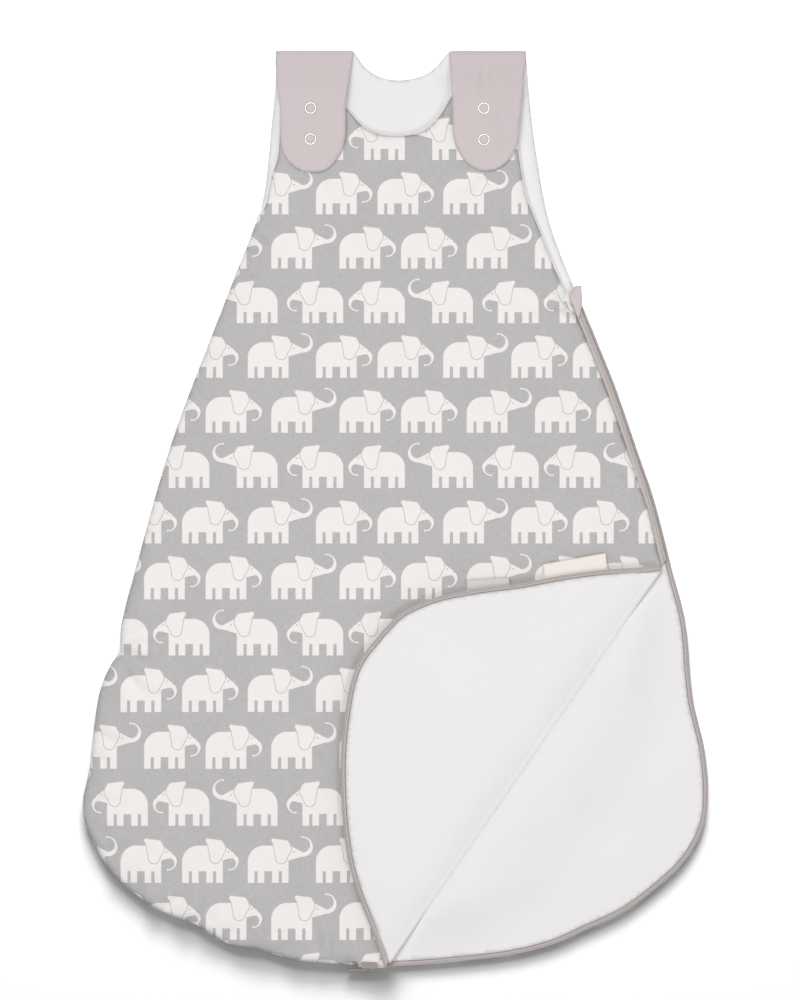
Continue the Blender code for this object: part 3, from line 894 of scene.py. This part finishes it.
def past_fold(node, step, reach, taper):
    """A node's outline in coordinates along and left of the fold, carried on past the fold line."""
    loop = outline(node)
    flat = np.column_stack([along_fold(loop), fold_side(loop)])
    near = flat[:, 1] < NEAR_FOLD
    a0, a1 = flat[near, 0].min(), flat[near, 0].max()
    kept = flat[~near | (np.abs(flat[:, 0] - a0) < 0.05) | (np.abs(flat[:, 0] - a1) < 0.05)]
    kept = np.roll(kept, -int(np.argmin(kept[:, 0])), 0)
    if kept[1, 1] > kept[-1, 1]:
        kept = np.roll(kept[::-1], 1, 0)
    carried = [(a0 + taper, -reach), (a1 - taper, -reach)]
    return refine(np.concatenate([kept[:1], carried, kept[1:]]), step)


def flap_height(points, edge):
    """The turned-back corner's lining, left of the fold."""
    side = fold_side(points)
    rise = 1.5 * bump(edge, 13) + 0.7 * ease(edge, 10, 70)
    settle = (1 - ease(side, -12, 40)) * 0.8 + 6.4 * np.exp(-np.maximum(side, 0) / 9)
    rise += 1.2 * np.exp(-(((side - 22) / 14) ** 2)) * ease(edge, 5, 30)
    uneven_height = ease(edge, 4, 30) * ease(side, 0, 12) * uneven(points + 900, 0.35)
    return np.maximum(FLAP_LEVEL + rise - settle, LOWEST_AT_FOLD) + uneven_height


def rolled_under(along, side, length, top, low, bulge):
    """Where the points of a cloth come to lie that rolls under at the fold, from one height to another."""
    turn = np.clip(-side / length, 0, 1) * math.pi
    under = np.clip(-side - length, 0, None)
    middle, half = (top + low) / 2, (top - low) / 2
    placed = from_fold(along, np.where(side > 0, side, under - bulge(turn)))
    return np.column_stack([placed, np.where(side > 0, top, middle + half * np.cos(turn))])


def lip(turn):
    """How far the lining's roll stands out past the fold line: most in its upper half."""
    return LIP_REACH * 1.3 * np.sin(turn) * np.maximum(np.cos(turn / 2), 0) ** 2


def make_flap_lining():
    """The corner's lining, which faces up and rolls over the fold to meet the back's lining."""
    node = "flap_lining"
    flat_loop = past_fold(node, FINE, ROLL_LENGTH + STUB, 3.0)
    cut = refine(outline(node), FINE)
    free = edges_where(cut, lambda p: not at_fold(p))
    flat, faces = fill(flat_loop, FINE)
    along, side = flat.T
    points = from_fold(along, np.maximum(side, 0))
    height = flap_height(points, from_edges(points, cut, free))
    verts = rolled_under(along, side, ROLL_LENGTH, height, ROLL_LOW, lip)
    piece = thicken(new_object("flap_lining_cloth", verts, faces, None, from_fold(along, side), LINING))
    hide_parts(node)
    blend_at_fold(piece, *LINING_BEND)
    return cut, free


def blend_at_fold(piece, low, high):
    """Bake a piece's placement into its mesh; the heights low and high are not used."""
    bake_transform(piece)


def make_flap_print():
    """The corner's printed side, which faces down, with the crease that joins it to the front."""
    node = "flap_outer"
    crease = 1.6
    flat_loop = past_fold(node, 4.0, crease + 5.0, 1.0)
    flat, faces = fill(flat_loop, 4.0)
    along, side = flat.T
    top, low = FLAP_BOTTOM + 0.1, FRONT_TOP - 0.9
    verts = rolled_under(along, side, crease, top, low, lambda turn: 0.5 * np.sin(turn))
    flat = from_fold(along, -side)
    piece = thicken(new_object("flap_print", verts, [f[::-1] for f in faces], None, flat, PRINT))
    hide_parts(node)
    blend_at_fold(piece, *PRINT_BEND)


def make_flap():
    cut, free = make_flap_lining()
    make_flap_print()
    make_pad(
        "flap_wadding",
        "flap_padding",
        lambda p: np.full(len(p), FLAP_BOTTOM + CLOTH + 0.15),
        lambda p: np.maximum(
            flap_height(p, from_edges(p, cut, free)) - CLOTH - 0.7, FLAP_BOTTOM + CLOTH + 0.2
        ),
        "flap",
    )


# ---- ribbons and coils


def rails(node, step):
    """The two long sides of a flat strip, as matching points a step apart: the outer one first."""
    loop = outline(node)
    corners = sorted(np.argsort(-turns(unit(np.roll(loop, -1, 0) - loop)))[:4])
    runs = []
    for a, b in zip(corners, corners[1:] + corners[:1]):
        index = np.arange(a, b + 1 if b > a else b + 1 + len(loop)) % len(loop)
        run = loop[index]
        runs.append((run_along(run)[-1], run))
    runs.sort(key=lambda r: -r[0])
    one, other = runs[0][1], runs[1][1][::-1]
    count = max(2, int(runs[0][0] / step))
    one = evenly(one, count)
    other = nearest_on(one, evenly(other, count * 4))
    return one, other


def evenly(points, count):
    """The same open curve, smooth, as a number of even steps."""
    run = run_along(points)
    want = np.linspace(0, run[-1], count + 1)
    tangent = np.gradient(points, run, axis=0)
    index = np.clip(np.searchsorted(run, want, side="right") - 1, 0, len(run) - 2)
    gap = (run[index + 1] - run[index])[:, None]
    t = (want - run[index])[:, None] / gap
    return cubic(points[index], tangent[index] * gap, points[index + 1], tangent[index + 1] * gap, t)


def nearest_on(points, curve):
    """For each point the nearest point of a finely cut curve, never stepping back."""
    found = []
    at = 0
    for p in points:
        far = np.linalg.norm(curve[at : at + 60] - p, axis=1)
        at += int(np.argmin(far))
        found.append(curve[at])
    found[-1] = curve[-1]
    return np.array(found)


TAPE_THICK = 0.45
TAPE_STEP = 2.0  # spacing of a tape's points along it
TAPE_PROFILE = (  # share of the width from the inner edge, and height
    (-0.3, -0.9), (-0.12, -0.8), (0.0, -0.1), (0.08, 0.3), (0.18, 0.5), (0.3, 0.55), (0.42, 0.42), (0.5, 0.1),
    (0.54, 0.0), (0.6, 0.1), (0.8, 0.12), (1.0, 0.0),
)


def make_tape(name, node, body, upward):
    """A zip's tape; its profile runs from the strip's inner side to its outer side."""
    low, high = node_box(node)
    one, other = rails(node, TAPE_STEP)
    level, sign = (high[2], 1) if upward else (low[2], -1)
    count = len(one)
    ahead = np.gradient((one + other) / 2, axis=0)
    run = run_along(one)
    width = np.linalg.norm(one - other, axis=1)
    verts, uv = [], []
    for share, lift in TAPE_PROFILE:
        place = other + (one - other) * share
        verts.append(np.column_stack([place, np.full(count, level) + sign * lift]))
        uv.append(np.column_stack([run, width * share]))
    verts, uv = np.concatenate(verts), np.concatenate(uv)
    way = one[0] - other[0]
    turned = ahead[0][0] * way[1] - ahead[0][1] * way[0] < 0
    faces = []
    for j in range(len(TAPE_PROFILE) - 1):
        for i in range(count - 1):
            a = j * count + i
            face = (a, a + 1, a + 1 + count, a + count)
            faces.append(face if turned != upward else face[::-1])
    piece = thicken(new_object(name, verts, faces, body, uv, TAPE), TAPE_THICK)
    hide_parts(node)


def tube(path, radius, sides=4):
    """A closed tube round a path: its points and faces."""
    ahead = unit(np.gradient(path, axis=0))
    aside = np.where(np.abs(ahead[:, 2:]) > 0.9, (1.0, 0.0, 0.0), (0.0, 0.0, 1.0))
    across = unit(np.cross(ahead, aside))
    up = np.cross(across, ahead)
    rings = []
    for k in range(sides):
        angle = 2 * math.pi * (k + 0.5) / sides
        rings.append(path + radius * (math.cos(angle) * across + math.sin(angle) * up))
    verts = np.stack(rings, 1).reshape(-1, 3)
    faces = []
    for i in range(len(path) - 1):
        for k in range(sides):
            a, b = i * sides + k, i * sides + (k + 1) % sides
            faces.append((a, b, b + sides, a + sides))
    faces.append(tuple(range(sides))[::-1])
    faces.append(tuple(len(verts) - sides + k for k in range(sides)))
    return verts, faces


def make_coil(name, node, body):
    """A zip's coil of teeth, in the strip that the node fills."""
    low, high = node_box(node)
    one, other = rails(node, TEETH_PITCH)
    turns = len(one) - 1
    per_turn, wire, lean = 8, 0.3, 0.25
    index = np.arange(turns * per_turn + 1) / per_turn
    whole = np.clip(index.astype(int), 0, turns - 1)
    t = (index - whole)[:, None]
    a = one[whole] * (1 - t) + one[whole + 1] * t
    b = other[whole] * (1 - t) + other[whole + 1] * t
    angle = 2 * math.pi * index
    share = 0.5 + (0.5 - wire / 1.7) * np.cos(angle)
    place = b + (a - b) * share[:, None]
    middle, half = (low[2] + high[2]) / 2, (high[2] - low[2]) / 2 - wire
    path = np.column_stack([place, middle + half * np.sin(angle)])
    # The turns are wound away from the vertical, so that no stretch of the wire stands exactly upright.
    ahead = unit(np.gradient((a + b) / 2, axis=0))
    path[:, :2] += ahead * (lean * np.cos(angle))[:, None]
    verts, faces = tube(path, wire)
    piece = new_object(name, verts, faces, body, verts[:, :2], TEETH)
    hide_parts(node)


def make_zip():
    """The four stretches of the zip, whose tapes lie on the back and the corner and under the front."""
    for place, body in (("back", "root"), ("side", "root"), ("end", "root"), ("flap", "flap")):
        make_tape(f"tape_{place}", f"zip_tape_{place}", body, upward=place in ("back", "flap"))
        make_coil(f"coil_{place}", f"zip_teeth_{place}", body)


# ---- straps, snaps and small parts

STRAP_HINGE_Z = JOINTS["strap_left_fold"]["pos_m"][2] / MM
STRAP_RISE_Y = 316.0  # from here a strap sinks towards its hinge
STRAP_TURN_Y = 347.0  # and here it turns under, round this radius
STRAP_TURN = 2.05
STRAP_BEND = (9.4, 12.3)
SNAP_DENT, SNAP_DENT_RADIUS = 0.55, 5.2
STRAP_THICK = 2.3
STRAP_STUB = 8.0
SNAP_NAMES = {side: (f"snap_{side}_1", f"snap_{side}_2") for side in ("left", "right")}
STRAP_CREASES = {
    "left": [
        ((-41, 322), (-52, 300), 3.6, 0.4),
        ((-90, 336), (-76, 326), 3.6, 0.35),
    ],
    "right": [
        ((69, 338), (74, 306), 2.8, 0.7),
        ((47, 328), (53, 296), 2.8, 0.6),
        ((94, 330), (87, 302), 2.8, 0.6),
        ((84, 310), (85, 274), 2.8, 0.5),
        ((56, 312), (58, 276), 2.8, 0.4),
        ((90, 290), (76, 268), 2.8, 0.4),
    ],
}


def make_strap(side):
    """A strap: both its cloths as one soft piece, which turns under at the shoulder."""
    node = f"strap_{side}_outer"
    loop = outline(node)
    reach = STRAP_TURN_Y + math.pi * STRAP_TURN + STRAP_STUB
    loop[loop[:, 1] > STRAP_TURN_Y + 1, 1] = reach
    loop = refine(loop, FINE * 0.8)
    ends = edges_where(loop, lambda p: p[1] > reach - 0.5)
    points, faces = fill(loop, FINE * 0.8)
    edge = from_edges(points, loop, ~ends)
    x, y = points.T
    high = (STRAP_BOTTOM + STRAP_TOP) / 2
    low = STRAP_HINGE_Z + STRAP_TURN
    path = low + (high - low) * (1 - ease(y, STRAP_RISE_Y, STRAP_TURN_Y)) + uneven(points + 77, 0.25)
    path += creases(points, STRAP_CREASES[side]) * (1 - ease(y, 340, STRAP_TURN_Y))
    turn = np.clip((y - STRAP_TURN_Y) / (math.pi * STRAP_TURN), 0, 1) * math.pi
    beyond = np.clip(y - STRAP_TURN_Y - math.pi * STRAP_TURN, 0, None)
    flat = y <= STRAP_TURN_Y
    centre_y = np.where(flat, y, STRAP_TURN_Y - beyond + STRAP_TURN * np.sin(turn))
    centre_z = np.where(flat, path, STRAP_HINGE_Z + STRAP_TURN * np.cos(turn))
    normal_y, normal_z = np.where(flat, 0, np.sin(turn)), np.where(flat, 1, np.cos(turn))
    half = STRAP_THICK / 2 * (0.25 + 0.75 * bump(edge, 4.5))
    dent = np.zeros(len(points))
    for snap in SNAP_NAMES[side]:
        low_corner, high_corner = node_box(f"{snap}_ring")
        centre = ((low_corner + high_corner) / 2)[:2]
        dent += SNAP_DENT * np.exp(-(((points - centre) ** 2).sum(1) / SNAP_DENT_RADIUS**2))
    upper = np.column_stack([x, centre_y + normal_y * half, centre_z + normal_z * half - dent])
    lower = np.column_stack([x, centre_y - normal_y * half, centre_z - normal_z * half])
    verts, every = np.concatenate([lower, upper]), closed_faces(faces, len(points), len(loop))
    piece = new_object(f"strap_{side}", verts, every, None, np.concatenate([points, points]), TRIM)
    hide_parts(node, f"strap_{side}_lining")
    x, y = float(loop[:, 0].mean()) * MM, JOINTS[f"strap_{side}_fold"]["pos_m"][1]
    low, high = STRAP_BEND
    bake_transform(piece)


def lathe(name, centre, profile, body, finish, sides=48):
    """A round piece from a closed profile of (radius, height)."""
    verts, faces = [], []
    for radius, height in profile:
        for i in range(sides):
            angle = 2 * math.pi * i / sides
            verts.append((centre[0] + radius * math.cos(angle), centre[1] + radius * math.sin(angle), height))
    for j in range(len(profile)):
        a, b = j * sides, (j + 1) % len(profile) * sides
        for i in range(sides):
            n = (i + 1) % sides
            faces.append((a + i, a + n, b + n, b + i))
    return new_object(name, verts, faces, body, np.array(verts)[:, :2], finish)


def make_snap_ring(snap, side):
    """The ring of a snap that shows: a rolled metal ring pressed into the cloth."""
    low, high = node_box(f"{snap}_ring")
    centre = ((low + high) / 2)[:2]
    middle, thick = 3.95, 0.68
    angles = [2 * math.pi * i / 12 for i in range(12)]
    profile = [
        (middle + thick * math.cos(a), high[2] - 0.7 + thick * 0.9 * math.sin(a)) for a in angles
    ]
    piece = lathe(f"{snap}_rolled_ring", centre, profile, f"strap_{side}", METAL)
    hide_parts(f"{snap}_ring")


def make_label(name, node, curl, finish):
    """A small woven label: its loose edges curl a little."""
    loop = refine(outline(node), TINY)
    low, high = node_box(node)
    middle = (low + high)[:2] / 2
    points, faces = fill(loop, TINY)
    edge = to_edge(points, loop)
    height = (low[2] + high[2]) / 2 + 0.2 + curl * np.sin((points[:, 0] - middle[0]) * 0.09)
    height -= 0.12 * (1 - ease(edge, 0, 1.2))
    verts = np.column_stack([points, height])
    piece = thicken(new_object(name, verts, faces, "flap", points, finish), LABEL_THICK)
    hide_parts(node)


def make_garage():
    """The fabric pocket over the top of the zip."""
    node = "zip_garage"
    loop = refine(outline(node), TINY)
    low, high = node_box(node)
    middle = (low[2] + high[2]) / 2

    def half(points):
        return 0.3 + 0.7 * bump(to_edge(points, loop), 2.5)

    piece = pad(
        "garage_pocket", loop, lambda p: middle - half(p), lambda p: middle + half(p), "root", TRIM, TINY
    )
    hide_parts(node)


def finish_cad_metal():
    for name, made in frame["nodes"].items():
        if made.hide_render:
            continue
        finish = DARK_METAL if name in ("zip_slider", "zip_pull") or "stop" in name else METAL
        for holder in made.material_slots:
            holder.material = finish


# ---- floor, light and camera

VIEW_HEIGHT = 608.8 * 1000 / 800  # of the longer side of the picture, at the bag
VIEW_CENTRE = (3.2, 8.4)
CAMERA_HEIGHT = 4000.0
VIEW_PLANE = 8.0
SENSOR = 36.0
SKY = 0.3
LIGHTS = (  # name, place in metres, size in metres, watts, and whether it lights the floor or the bag
    ("key_light", (-0.3, 0.4, 2.4), (0.9, 0.9), 30.0, False),
    ("low_key_light", (0.75, -0.8, 2.1), (0.5, 0.5), 7.5, False),
    ("wide_light", (0.3, -0.3, 2.6), (5.0, 5.0), 22.0, False),
    ("low_floor_light", (0.0, 2.91, 1.55), (1.8, 0.75), 136.0, True),
    ("high_floor_light", (0.0, 2.12, 2.12), (1.8, 1.17), 58.0, True),
)


def make_stage():
    """The pale floor."""
    size = 5.0
    verts = [(-size, -size, 0), (size, -size, 0), (size, size, 0), (-size, size, 0)]
    mesh = bpy.data.meshes.new("floor")
    mesh.from_pydata(verts, [], [(0, 1, 2, 3)])
    floor = bpy.data.objects.new("floor", mesh)
    bpy.context.scene.collection.objects.link(floor)
    floor.location.z = -0.0002
    finish = Finish("pale_floor", roughness=1.0, specular=0.0)
    grain = finish.body_noise(40.0)
    mesh.materials.append(finish.done(finish.shade((0.95, 0.95, 0.95), grain * 0.002)))
    return floor


def area_light(floor, name, place, size, power, on_floor):
    """A soft light aimed at the bag, which lights only the floor or all but the floor."""
    data = bpy.data.lights.new(name, "AREA")
    data.shape = "RECTANGLE"
    data.size, data.size_y = size
    data.energy = power
    made = bpy.data.objects.new(name, data)
    bpy.context.scene.collection.objects.link(made)
    made.location = place
    made.rotation_euler = (-Vector(place)).to_track_quat("-Z", "Y").to_euler()
    lit = bpy.data.collections.new(name + "_lights")
    lit.objects.link(floor)
    lit.collection_objects[0].light_linking.link_state = "INCLUDE" if on_floor else "EXCLUDE"
    made.light_linking.receiver_collection = lit


def make_light_and_camera(floor):
    scene = bpy.context.scene
    scene.view_settings.view_transform = "Standard"
    world = bpy.data.worlds.new("studio")
    world.use_nodes = True
    sky = world.node_tree.nodes["Background"]
    sky.inputs["Color"].default_value = (1.0, 1.0, 1.0, 1.0)
    sky.inputs["Strength"].default_value = SKY
    scene.world = world
    for light in LIGHTS:
        area_light(floor, *light)
    data = bpy.data.cameras.new("camera")
    data.sensor_width = SENSOR
    data.lens = SENSOR * (CAMERA_HEIGHT - VIEW_PLANE) / VIEW_HEIGHT
    data.clip_end = 50.0
    camera = bpy.data.objects.new("camera", data)
    scene.collection.objects.link(camera)
    camera.location = (VIEW_CENTRE[0] * MM, VIEW_CENTRE[1] * MM, CAMERA_HEIGHT * MM)
    scene.camera = camera


def main():
    floor = make_stage()
    make_panels()
    make_flap()
    make_zip()
    for side in SNAP_NAMES:
        make_strap(side)
        for snap in SNAP_NAMES[side]:
            make_snap_ring(snap, side)
    make_label("woven_label_cloth", "woven_label", 0.12, LABEL)
    make_label("care_label_cloth", "care_label", 0.08, CARE)
    make_garage()
    finish_cad_metal()
    make_light_and_camera(floor)


main()
